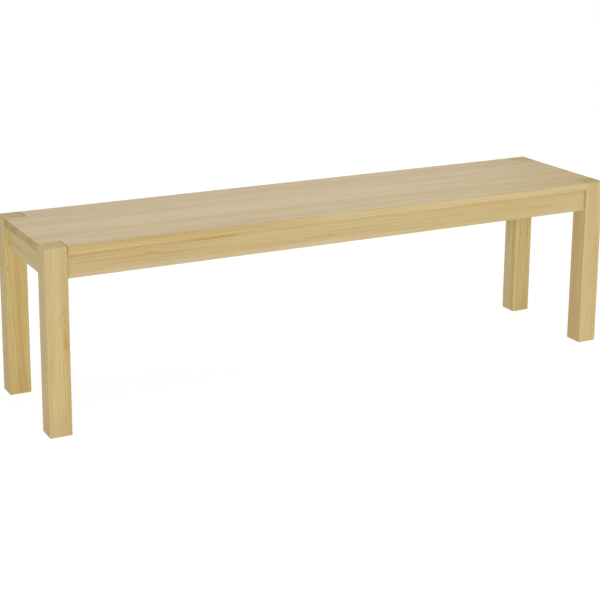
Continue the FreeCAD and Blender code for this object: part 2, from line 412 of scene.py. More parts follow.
class PineFigure:
    """The shared shader groups that draw sawn pine, each built once.

    A pace says how often a pattern changes to the metre, along the grain and across it both ways.
    A span says where a soft step begins and ends.
    """

    # How the stem wanders off a straight line.
    WANDER_PACE = 10.0
    WANDER_SWAY = (0.0, 4.0, 4.0)
    # Where a branch sets in from the pith, its ragged outline, and how far it bends the rings.
    BRANCH_SPAN = (0.0, 0.008)
    RAGGED_PACE = (90.0, 160.0, 160.0)
    RAGGED = 0.55
    CORE_SPAN = (0.75, 1.05)
    RIM_RISE = (0.68, 0.95)
    RIM_FALL = (0.97, 1.22)
    FLOW_STRETCH = 2.6
    # How uneven the years are, and how fibres fray them.
    YEAR_PACE = 0.37
    YEAR_SWING = 1.3
    YEAR_FRAY = 0.3
    # How strong the late wood is in the poorest and the best year, and when it comes and goes.
    LATE_STRENGTH = (0.35, 1.0)
    LATE_ONSET = (0.72, 0.4)
    LATE_PEAK = 0.92
    LATE_FALL = (0.94, 1.0)
    # Patches where the rings show more or less.
    MOOD_PACE = (2.6, 14.0, 14.0)
    MOOD_SPAN = (0.38, 0.62)
    MOOD_SHOWN = (0.35, 1.0)
    # What runs along the grain.
    FINE_PACE = (9.0, 420.0, 420.0)
    FINE_SPAN = (0.35, 0.7)
    BROAD_PACE = (1.3, 34.0, 34.0)
    BROAD_SPAN = (0.35, 0.68)
    CANAL_PACE = (30.0, 760.0, 760.0)
    CANAL_SPAN = (0.66, 0.78)
    CANAL_DETAIL = 1.0
    # How fibres fray a streak, and where it fades out.
    STREAK_FRAY = 1.1
    STREAK_SPAN = (0.25, 1.0)
    # Widths of the sanded band along an arris and of the thin line of painted shade at it.
    BAND_SPAN = (0.0006, 0.004)
    LINE_SPAN = (0.0002, 0.0012)
    # How squarely to the grain a face is cut where it shows end grain.
    END_SPAN = (0.3, 0.8)

    def __init__(self, finish: PineFinish) -> None:
        """Builds every group.

        Args:
            finish: The colours and shares of the wood.
        """
        self.wander = self.build_wander()
        self.knot = self.build_knot()
        self.rings = self.build_rings()
        self.fibres = self.build_fibres()
        self.streak = self.build_streak()
        self.arris = self.build_arris()
        self.surface = self.build_surface(finish)

    def build_wander(self) -> bpy.types.NodeTree:
        """Bends the stem's axis slowly along the grain, as no tree grows straight.

        Returns:
            The group, from a place in the board to a place in a straight stem.
        """
        group = GroupSketch("Pine_stem_wander")
        place, lean = group.take(Socket.VECTOR, "Place", "Lean")
        bend, pace, seed = group.take(Socket.VALUE, "Bend", "Pace", "Seed")
        along = group.split(place)[0]
        slow = group.noise(place, group.joined(pace, self.WANDER_PACE, self.WANDER_PACE), seed)
        centred = group.vector("SUBTRACT", slow.outputs["Color"], (group.HALF,) * 3)
        sideways = group.vector("MULTIPLY", centred, self.WANDER_SWAY)
        bent = group.vector("ADD", place, group.scaled(sideways, bend))
        group.give(Socket.VECTOR, Stem=group.vector("ADD", bent, group.scaled(lean, along)))
        return group.tree

    def build_knot(self) -> bpy.types.NodeTree:
        """Lets a branch grow from the pith out through the board.

        Returns:
            The group, giving how far the rings are drawn out, the branch wood and its dark rim.
        """
        group = GroupSketch("Pine_branch_knot")
        (place,) = group.take(Socket.VECTOR, "Place")
        at, angle, radius, stretch = group.take(Socket.VALUE, "Along", "Angle", "Radius", "Stretch")
        swell, reach, seed = group.take(Socket.VALUE, "Swell", "Reach", "Seed")
        along, side, up = group.split(place)
        cosine = group.math("COSINE", angle)
        sine = group.math("SINE", angle)
        outward = group.plus(group.times(side, cosine), group.times(up, sine))
        across = group.minus(group.times(up, cosine), group.times(side, sine))
        lengthwise = group.minus(along, at)
        grown = group.ramp(outward, self.BRANCH_SPAN)
        ragged = group.noise(place, self.RAGGED_PACE, seed).outputs["Fac"]
        oval = group.joined(group.over(lengthwise, stretch), across)
        share = group.over(group.vector("LENGTH", oval), radius)
        torn = group.plus(share, group.swing(ragged, self.RAGGED))
        core = group.times(group.ramp(torn, self.CORE_SPAN, FALLING), grown)
        rim_inside = group.ramp(torn, self.RIM_RISE)
        rim_outside = group.ramp(torn, self.RIM_FALL, FALLING)
        far = group.times(reach, self.FLOW_STRETCH)
        flow = group.joined(group.over(lengthwise, far), group.over(across, reach))
        spread = group.vector("LENGTH", flow)
        bell = group.math("EXPONENT", group.times(spread, spread, -1.0))
        rim = group.times(rim_inside, rim_outside, grown)
        group.give(Socket.VALUE, Push=group.times(bell, swell, grown), Core=core, Rim=rim)
        return group.tree

    def build_rings(self) -> bpy.types.NodeTree:
        """Lays one year's growth after another round the pith.

        Returns:
            The group, giving the share of dark late wood at a place.
        """
        group = GroupSketch("Pine_growth_rings")
        (stem,) = group.take(Socket.VECTOR, "Stem")
        push, width, fray, seed = group.take(Socket.VALUE, "Push", "Ring Width", "Fray", "Seed")
        radius = group.vector("LENGTH", group.vector("MULTIPLY", stem, (0.0, 1.0, 1.0)))
        years = group.over(group.minus(radius, push), width)
        calendar = group.plus(group.times(years, self.YEAR_PACE), seed)
        growth = group.add("ShaderNodeTexNoise", {"W": calendar, "Scale": 1.0}, noise_dimensions="1D")
        uneven = group.swing(growth.outputs["Fac"], self.YEAR_SWING)
        count = group.plus(years, uneven, group.swing(fray, self.YEAR_FRAY))
        season = group.math("FRACT", count)
        year = group.plus(group.math("FLOOR", count), seed)
        luck = group.add("ShaderNodeTexWhiteNoise", {"W": year}, noise_dimensions="1D").outputs["Value"]
        strength = group.ramp(luck, RISING, self.LATE_STRENGTH)
        onset = group.ramp(luck, RISING, self.LATE_ONSET)
        rise = group.ramp(season, (onset, self.LATE_PEAK))
        fall = group.ramp(season, self.LATE_FALL, FALLING)
        mood = group.noise(stem, self.MOOD_PACE, seed).outputs["Fac"]
        shown = group.ramp(mood, self.MOOD_SPAN, self.MOOD_SHOWN)
        group.give(Socket.VALUE, Latewood=group.times(rise, fall, strength, shown))
        return group.tree

    def build_fibres(self) -> bpy.types.NodeTree:
        """Draws what runs along the grain: fine fibres, broad tone bands and resin canals.

        Returns:
            The group, giving the fibres and bands as values round a half and the canals as a mask.
        """
        group = GroupSketch("Pine_fibres")
        (place,) = group.take(Socket.VECTOR, "Place")
        (seed,) = group.take(Socket.VALUE, "Seed")
        fine = group.noise(place, self.FINE_PACE, seed).outputs["Fac"]
        broad = group.noise(place, self.BROAD_PACE, seed).outputs["Fac"]
        canal = group.noise(place, self.CANAL_PACE, seed, self.CANAL_DETAIL).outputs["Fac"]
        group.give(Socket.VALUE, Fine=fine, Broad=broad, Canal=group.ramp(canal, self.CANAL_SPAN))
        return group.tree

    def build_streak(self) -> bpy.types.NodeTree:
        """Marks one long patch on the wood, such as resin, a dark fleck, or painted shade or light.

        Returns:
            The group, giving the patch as a mask.
        """
        group = GroupSketch("Pine_streak")
        place, middle, reach = group.take(Socket.VECTOR, "Place", "Middle", "Reach")
        (fray,) = group.take(Socket.VALUE, "Fray")
        away = group.vector("DIVIDE", group.vector("SUBTRACT", place, middle), reach)
        torn = group.plus(group.vector("LENGTH", away), group.swing(fray, self.STREAK_FRAY))
        group.give(Socket.VALUE, Mask=group.ramp(torn, self.STREAK_SPAN, FALLING))
        return group.tree

    def build_arris(self) -> bpy.types.NodeTree:
        """Finds the sanded arrises of a squared board.

        Returns:
            The group, giving a soft band along each arris and a thin line of painted shade at it.
        """
        group = GroupSketch("Board_arris")
        position, half = group.take(Socket.VECTOR, "Position", "Half Size")
        inside = group.vector("SUBTRACT", half, group.vector("ABSOLUTE", position))
        first, second, third = group.split(inside)
        larger = group.most(first, second)
        middle = group.most(group.least(first, second), group.least(larger, third))
        band = group.ramp(middle, self.BAND_SPAN, FALLING)
        group.give(Socket.VALUE, Band=band, Line=group.ramp(middle, self.LINE_SPAN, FALLING))
        return group.tree

    def build_surface(self, finish: PineFinish) -> bpy.types.NodeTree:
        """Puts the wood's parts together.

        Args:
            finish: The colours and shares of the wood.

        Returns:
            The group, giving the wood's colour, its roughness and the height of its surface.
        """
        group = GroupSketch("Pine_surface")
        tint, end_tone = group.take(Socket.COLOUR, "Tint", "End Tone")
        names = (
            "Latewood", "Contrast", "Fine", "Broad", "Canal", "Core", "Rim", "Resin", "Fleck", "Pale",
            "End", "Band", "Line",
        )
        mask = dict(zip(names, group.take(Socket.VALUE, *names)))
        wood = group.mixed(group.times(mask["Latewood"], mask["Contrast"]), finish.early, finish.late)
        for shown, tone in (
            (group.ramp(mask["Broad"], self.BROAD_SPAN), finish.broad),
            (group.ramp(mask["Fine"], self.FINE_SPAN), finish.fibre),
            (mask["Canal"], finish.canal),
            (mask["Core"], finish.branch),
            (mask["Rim"], finish.rim),
            # The resin, fleck and pale masks also carry painted shade and painted light.
            (mask["Resin"], finish.resin),
            (mask["Fleck"], finish.fleck),
            (mask["Pale"], finish.pale),
        ):
            wood = group.lay(wood, shown, tone)
        wood = group.mixed(mask["End"], wood, end_tone, Blend.DARKEN)
        wood = group.lay(wood, mask["Band"], finish.sanded)
        # Painted shade: a thin dark line along every arris.
        wood = group.lay(wood, mask["Line"], finish.handled)
        group.give(Socket.COLOUR, Colour=group.mixed(1.0, wood, tint, Blend.DARKEN))
        rough = group.weighed(finish.rough, ((mask[name], share) for name, share in finish.rough_shares))
        height = group.weighed(0.0, ((mask[name], share) for name, share in finish.relief_shares))
        group.give(Socket.VALUE, Roughness=rough, Height=height)
        return group.tree


class Grain(Enum):
    """Which way the fibres of a board run, with the turn that lays them along X, in degrees."""

    ALONG = (0.0, 0.0, 0.0)
    ACROSS = (0.0, 0.0, -90.0)
    UPRIGHT = (0.0, 90.0, 0.0)
    TO_REAR_RIGHT = (0.0, 0.0, -45.0)
    TO_FRONT_RIGHT = (0.0, 0.0, 45.0)

    def turn(self) -> Euler:
        """The turn that lays the fibres along X."""
        return Euler([math.radians(angle) for angle in self.value])

    def way(self) -> Vector:
        """The way along the fibres."""
        return self.turn().to_matrix().inverted() @ Vector((1.0, 0.0, 0.0))


class MarkKind(Enum):
    """What a patch on the wood is, by its input on the surface group; the kinds also carry painted shade
    and painted light.
    """

    RESIN = "Resin"
    FLECK = "Fleck"
    PALE = "Pale"


@dataclass(frozen=True)
class Knot:
    """A branch grown through a board.

    Attributes:
        shows_at: Where its middle shows on the board, in metres.
        radius: Radius of the branch wood.
        stretch: How many times longer than wide it shows.
        swell: How far it draws the growth rings out.
        reach: How far to its sides it bends them.
    """

    shows_at: Point
    radius: float
    stretch: float
    swell: float
    reach: float


@dataclass(frozen=True)
class Mark:
    """A long patch of resin, a dark fleck or a pale streak, or painted shade or light in their colours.

    Attributes:
        kind: Which of them it is.
        middle: Its middle on the board, in metres.
        length: Half its length along the grain.
        width: Half its width.
        strength: How strongly it covers the wood.
    """

    kind: MarkKind
    middle: Point
    length: float
    width: float
    strength: float


@dataclass(frozen=True)
class Board:
    """One sawn board: where in the stem it was cut, and what grew in it.

    Attributes:
        node: Name of its solid.
        grain: Which way its fibres run.
        pith: From the board's middle to the stem's pith, in metres.
        seed: Number that sets this stem apart.
        ring: Mean width of a year's growth.
        lean: How far the stem leans off the board, per metre, in the two cross directions.
        bend: How far the stem wanders sideways.
        pace: How often it wanders to a metre.
        contrast: How strongly its late wood shows.
        fade: How much fainter it shows at the far end of the board, from 0 to 1.
        tint: Its tone against the other boards.
        end_tone: Tone of its end grain against the other boards.
        knots: Branches in it.
        marks: Resin, flecks and pale streaks in it, and patches of painted shade and light on it.
    """

    node: str
    grain: Grain
    pith: Point
    seed: float
    ring: float = 0.0045
    lean: Span = (0.004, 0.006)
    bend: float = 0.004
    pace: float = 2.2
    contrast: float = 0.8
    fade: float = 0.0
    tint: Point = (1.0, 1.0, 1.0)
    end_tone: float = 1.0
    knots: tuple[Knot, ...] = ()
    marks: tuple[Mark, ...] = ()

    def middle(self) -> Vector:
        """Middle of the board's box."""
        low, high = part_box(self.node)
        return (low + high) / 2.0

    def half_size(self) -> Vector:
        """Half the size of the board's box."""
        low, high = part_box(self.node)
        return (high - low) / 2.0

    def in_stem(self, point: Point) -> Vector:
        """A point of the bench, seen from the pith with the fibres along X."""
        return self.grain.turn().to_matrix() @ (Vector(point) - self.middle() - Vector(self.pith))

    def dress(self, figure: PineFigure, finish: PineFinish) -> None:
        """Makes the board's material and puts it on its solid.

        Args:
            figure: The shared groups.
            finish: The shared finish.
        """
        sketch = MaterialSketch(f"pine_{self.node}")
        surface = self.draw(sketch, figure, finish)
        bump = sketch.add("ShaderNodeBump", {
            "Strength": finish.relief_strength,
            "Distance": finish.relief,
            "Height": surface.outputs["Height"],
        })
        sketch.fill(sketch.shader, {
            "Base Color": surface.outputs["Colour"],
            "Roughness": surface.outputs["Roughness"],
            "Specular IOR Level": finish.gloss,
            "Normal": bump.outputs["Normal"],
        })
        wear(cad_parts[self.node], sketch.material)
        log.info("%s wears %s", self.node, sketch.material.name)

    def draw(self, sketch: MaterialSketch, figure: PineFigure, finish: PineFinish) -> bpy.types.Node:
        """Draws the wood of the board.

        Args:
            sketch: The board's material.
            figure: The shared groups.
            finish: The shared finish.

        Returns:
            The surface group, with outputs Colour, Roughness and Height.
        """
        coordinates = sketch.add("ShaderNodeTexCoord")
        bench_place = coordinates.outputs["Object"]
        mapping = sketch.add("ShaderNodeMapping", {
            "Vector": bench_place,
            "Rotation": self.grain.turn(),
            "Location": self.in_stem((0.0, 0.0, 0.0)),
        })
        place = mapping.outputs["Vector"]
        fibres = sketch.use(figure.fibres, Place=place, Seed=self.seed)
        stem = sketch.use(
            figure.wander, Place=place, Lean=(0.0, *self.lean), Bend=self.bend, Pace=self.pace,
            Seed=self.seed,
        )
        push, core, rim = self.grow_knots(sketch, figure, place)
        rings = sketch.use(
            figure.rings, Stem=stem.outputs["Stem"], Push=push, Ring_Width=self.ring,
            Fray=fibres.outputs["Fine"], Seed=self.seed,
        )
        off_middle = sketch.vector("SUBTRACT", bench_place, self.middle())
        arris = sketch.use(figure.arris, Position=off_middle, Half_Size=self.half_size())
        facing = sketch.vector("DOT_PRODUCT", coordinates.outputs["Normal"], self.grain.way())
        masks = {output.name: output for group in (fibres, rings, arris) for output in group.outputs}
        for kind in MarkKind:
            masks[kind.value] = self.stain(sketch, figure, place, fibres.outputs["Fine"], kind)
        return sketch.use(
            figure.surface, **masks, Core=core, Rim=rim, Contrast=self.shown(sketch, place),
            End=sketch.ramp(sketch.math("ABSOLUTE", facing), figure.END_SPAN),
            End_Tone=(*[part * self.end_tone for part in finish.end[:3]], 1.0), Tint=(*self.tint, 1.0),
        )

    def shown(self, sketch: NodeSketch, place: Output) -> Output:
        """Fades the late wood from one end of the board to the other.

        Args:
            sketch: The board's material.
            place: The place in the stem.

        Returns:
            How strongly it shows.
        """
        along = sketch.split(place)[0]
        reach = max(self.half_size())
        return sketch.ramp(along, (-reach, reach), (self.contrast, self.contrast * (1.0 - self.fade)))

    def grow_knots(
        self, sketch: NodeSketch, figure: PineFigure, place: Output
    ) -> tuple[Source, Source, Source]:
        """Adds the board's branches.

        Args:
            sketch: The board's material.
            figure: The shared groups.
            place: The place in the stem.

        Returns:
            How far the rings are drawn out, the branch wood and its rim, each zero without branches.
        """
        push: Source = 0.0
        core: Source = 0.0
        rim: Source = 0.0
        for knot in self.knots:
            seen = self.in_stem(knot.shows_at)
            branch = sketch.use(
                figure.knot, Place=place, Along=seen.x, Angle=math.atan2(seen.z, seen.y), Seed=self.seed,
                Radius=knot.radius, Stretch=knot.stretch, Swell=knot.swell, Reach=knot.reach,
            )
            push = sketch.plus(push, branch.outputs["Push"])
            core = sketch.most(core, branch.outputs["Core"])
            rim = sketch.most(rim, branch.outputs["Rim"])
        return push, core, rim

    def stain(
        self, sketch: NodeSketch, figure: PineFigure, place: Output, fray: Output, kind: MarkKind
    ) -> Source:
        """Adds the board's marks of one kind.

        Args:
            sketch: The board's material.
            figure: The shared groups.
            place: The place in the stem.
            fray: The fine fibres that fray each mark.
            kind: Which marks to add.

        Returns:
            How strongly they cover the wood, zero without marks.
        """
        cover: Source = 0.0
        for mark in self.marks:
            if mark.kind is not kind:
                continue
            patch = sketch.use(
                figure.streak, Place=place, Middle=self.in_stem(mark.middle), Fray=fray,
                Reach=(mark.length, mark.width, mark.width),
            )
            cover = sketch.most(cover, sketch.times(patch.outputs["Mask"], mark.strength))
        return cover


class Woodwork:
    """A sub-assembly of boards, which its fields hold."""

    def dress(self, figure: PineFigure, finish: PineFinish) -> None:
        """Dresses every board.

        Args:
            figure: The shared groups.
            finish: The shared finish.
        """
        for field in fields(self):
            for board in getattr(self, field.name):
                board.dress(figure, finish)


@dataclass
class Seat(Woodwork):
    """The edge-glued seat of five staves.

    Attributes:
        staves: Its boards, from the front to the rear.
    """

    staves: tuple[Board, ...] = (
        Board(
            "seat_front_stave", Grain.ALONG, (0.0, 0.03, -0.06), 3.1, bend=0.002, tint=(1.015, 1.0, 0.99),
            end_tone=0.88,
            marks=(
                # Painted shade: the next two marks darken a strip along the top of the front edge, where
                # its rounded arris turns from the light.
                Mark(MarkKind.RESIN, (-0.68, FRONT, 0.456), 0.5, 0.01, 0.08),
                Mark(MarkKind.FLECK, (-0.15, -0.187, 0.457), 0.85, 0.01, 0.09),
                # Painted highlight: a pale band over the front edge that sets it off from the apron
                # below.
                Mark(MarkKind.PALE, (0.45, -0.187, 0.452), 1.05, 0.021, 0.34),
            ),
        ),
        Board(
            "seat_inner_stave_1", Grain.ALONG, (0.0, -0.08, -0.06), 7.7, bend=0.002,
            tint=(1.01, 1.0, 0.92), end_tone=0.86,
        ),
        Board(
            "seat_inner_stave_2", Grain.ALONG, (0.0, 0.08, 0.06), 12.4, bend=0.002,
            tint=(1.02, 1.035, 1.035), end_tone=0.88,
        ),
        Board(
            "seat_inner_stave_3", Grain.ALONG, (0.0, -0.07, -0.08), 19.2, bend=0.002,
            tint=(0.96, 0.96, 0.92), end_tone=0.84,
        ),
        Board(
            "seat_rear_stave", Grain.ALONG, (0.0, 0.08, -0.07), 24.6, bend=0.002,
            tint=(0.885, 0.84, 0.8), end_tone=0.84,
        ),
    )


@dataclass
class LegFrame(Woodwork):
    """The four legs and the aprons between them.

    Attributes:
        legs: The square legs.
        aprons: The boards under the seat's edges.
    """

    legs: tuple[Board, ...] = (
        Board(
            "front_left_leg", Grain.UPRIGHT, (-0.024, 0.036, 0.0), 31.5, ring=0.0036, lean=(0.0, 0.012),
            contrast=0.9, end_tone=1.1,
            knots=(
                Knot((-0.7565, FRONT, 0.228), 0.0045, 2.6, 0.015, 0.0095),
                Knot((-0.7585, FRONT, 0.256), 0.0022, 3.0, 0.007, 0.0065),
                Knot((-0.747, FRONT, 0.33), 0.0004, 3.0, 0.01, 0.015),
            ),
            marks=(
                Mark(MarkKind.RESIN, (-0.757, FRONT, 0.3), 0.06, 0.006, 0.2),
                Mark(MarkKind.RESIN, (-0.752, FRONT, 0.23), 0.06, 0.011, 0.3),
                Mark(MarkKind.FLECK, (-0.752, FRONT, 0.23), 0.4, 0.017, 0.12),
                # A darker, yellower wash over the whole left face of the leg.
                Mark(MarkKind.FLECK, (-0.815, -0.157, 0.2), 0.4, 0.03, 0.13),
                # Painted shade: darker at the foot, near the floor.
                Mark(MarkKind.FLECK, (-0.772, -0.175, 0.0), 0.1, 0.06, 0.14),
                Mark(MarkKind.PALE, (-0.792, -0.187, 0.38), 0.25, 0.022, 0.16),
                Mark(MarkKind.RESIN, (-0.762, FRONT, 0.045), 0.02, 0.004, 0.3),
            ),
        ),
        Board(
            "front_right_leg", Grain.UPRIGHT, (0.08, 0.08, 0.0), 37.8, bend=0.002, contrast=0.45,
            tint=(1.0, 1.0, 1.02), end_tone=0.98,
            marks=(
                Mark(MarkKind.PALE, (0.797, -0.19, 0.42), 0.2, 0.022, 0.5),
                # A darker wash over the whole front face of the leg.
                Mark(MarkKind.FLECK, (0.775, -0.2, 0.22), 0.5, 0.035, 0.08),
                # Painted light: a paler wash over the leg's left face, which the seat shades from above.
                Mark(MarkKind.PALE, (0.735, -0.15, 0.15), 0.3, 0.03, 0.1),
            ),
        ),
        Board(
            "rear_left_leg", Grain.UPRIGHT, (-0.06, 0.05, 0.0), 43.3, ring=0.0038, lean=(0.0, -0.05),
            bend=0.003, pace=5.0, contrast=0.85, tint=(0.94, 0.94, 0.84),
            marks=(
                Mark(MarkKind.FLECK, (-0.795, 0.13, 0.33), 0.008, 0.002, 0.6),
                # Painted shade: darker at the foot, near the floor.
                Mark(MarkKind.FLECK, (-0.772, 0.14, 0.0), 0.1, 0.06, 0.1),
            ),
        ),
        Board(
            "rear_right_leg", Grain.UPRIGHT, (-0.05, 0.05, 0.0), 49.9, ring=0.0036, bend=0.003, pace=4.0,
            contrast=1.1, tint=(0.925, 0.945, 0.895), end_tone=1.1,
            marks=(
                Mark(MarkKind.FLECK, (0.786, 0.13, 0.24), 0.02, 0.002, 0.5),
                # Painted light: a paler wash over the leg's left face, which the seat shades from above.
                Mark(MarkKind.PALE, (0.735, 0.165, 0.1), 0.35, 0.035, 0.55),
                # Painted shade: darker at the foot, near the floor.
                Mark(MarkKind.FLECK, (0.78, 0.14, 0.0), 0.1, 0.04, 0.16),
            ),
        ),
    )
    aprons: tuple[Board, ...] = (
        Board(
            "front_apron", Grain.ALONG, (0.0, 0.045, -0.055), 55.2, ring=0.0062, contrast=0.66, fade=0.6,
            tint=(0.99, 1.0, 1.08),
            knots=(Knot((-0.535, APRON_FRONT, 0.436), 0.001, 2.0, 0.006, 0.012),),
            marks=(
                Mark(MarkKind.RESIN, (-0.385, APRON_FRONT, 0.4352), 0.14, 0.004, 0.62),
                Mark(MarkKind.FLECK, (-0.385, APRON_FRONT, 0.4342), 0.11, 0.0018, 0.25),
                # Painted shade: a faint darker, oranger band along the apron's top, under the seat's
                # overhang.
                Mark(MarkKind.RESIN, (0.64, APRON_FRONT, 0.438), 0.5, 0.013, 0.2),
                Mark(MarkKind.PALE, (-0.5, APRON_FRONT, 0.384), 0.9, 0.018, 0.3),
                Mark(MarkKind.FLECK, (-0.335, APRON_FRONT, 0.4355), 0.05, 0.001, 0.5),
                # The next two flecks are thin dark lines along the apron's top: grain, and painted shadow
                # under the seat's overhang.
                Mark(MarkKind.FLECK, (-0.47, APRON_FRONT, 0.43), 0.05, 0.0009, 0.35),
                Mark(MarkKind.FLECK, (-0.155, APRON_FRONT, 0.433), 0.05, 0.0012, 0.3),
                Mark(MarkKind.FLECK, (-0.105, APRON_FRONT, 0.403), 0.022, 0.0014, 0.35),
                Mark(MarkKind.FLECK, (-0.057, APRON_FRONT, 0.405), 0.012, 0.003, 0.3),
            ),
        ),
        Board("rear_apron", Grain.ALONG, (0.0, -0.05, -0.045), 61.7, ring=0.0048),
        Board("left_apron", Grain.ACROSS, (0.05, 0.0, -0.06), 68.4, contrast=0.5),
        Board("right_apron", Grain.ACROSS, (-0.05, 0.0, -0.05), 73.1),
    )


@dataclass
class UnderFrame(Woodwork):
    """The cross rails and corner blocks that hold the seat from below.

    Attributes:
        rails: The two cross rails.
        blocks: The corner blocks behind the legs.
    """

    rails: tuple[Board, ...] = (
        Board("left_cross_rail", Grain.ACROSS, (0.03, 0.0, -0.04), 81.6),
        Board("right_cross_rail", Grain.ACROSS, (-0.035, 0.0, -0.03), 88.2),
    )
    blocks: tuple[Board, ...] = (
        Board("front_left_corner_block", Grain.TO_FRONT_RIGHT, (0.02, 0.02, -0.04), 91.4),
        Board("rear_right_corner_block", Grain.TO_FRONT_RIGHT, (-0.02, -0.02, -0.03), 95.9),
        Board("front_right_corner_block", Grain.TO_REAR_RIGHT, (-0.02, 0.02, -0.05), 103.7),
        Board("rear_left_corner_block", Grain.TO_REAR_RIGHT, (0.02, -0.02, -0.04), 108.3),
    )


@dataclass(frozen=True)
class ZincFinish:
    """Bright zinc plating on steel.

    Attributes:
        bright: Colour of the clean plating.
        dull: Colour where it has bloomed.
        bloom_pace: How often blooms come to the metre.
        bloom_seed: Number that sets their noise apart.
        bloom_detail: Detail of that noise.
        dull_span: Where in the noise the plating turns dull.
        rough_span: Where in the noise it turns rough.
        roughness: Roughness of the clean and of the bloomed plating.
    """

    bright: Colour = linear(204, 206, 210)
    dull: Colour = linear(168, 172, 178)
    bloom_pace: float = 900.0
    bloom_seed: float = 5.0
    bloom_detail: float = 3.0
    dull_span: Span = (0.35, 0.7)
    rough_span: Span = (0.3, 0.75)
    roughness: Span = (0.26, 0.45)

    def make(self) -> bpy.types.Material:
        """Makes the plating's material.

        Returns:
            The material.
        """
        sketch = MaterialSketch("zinc_plated_steel")
        place = sketch.add("ShaderNodeTexCoord").outputs["Object"]
        noise = sketch.noise(place, (self.bloom_pace,) * 3, self.bloom_seed, self.bloom_detail)
        bloom = noise.outputs["Fac"]
        sketch.fill(sketch.shader, {
            "Base Color": sketch.mixed(sketch.ramp(bloom, self.dull_span), self.bright, self.dull),
            "Roughness": sketch.ramp(bloom, self.rough_span, self.roughness),
            "Metallic": 1.0,
        })
        return sketch.material


@dataclass(frozen=True)
class Thread:
    """A screw thread.

    Attributes:
        root: Radius at its root.
        crest: Radius at its crest.
        pitch: Height of one turn.
        low: Height where it begins.
        high: Height where it ends.
        steps: Facets to a turn.
    """

    root: float
    crest: float
    pitch: float
    low: float
    high: float
    steps: int = 16

    def turns(self) -> int:
        """Whole turns between its ends."""
        return int((self.high - self.low) / self.pitch)


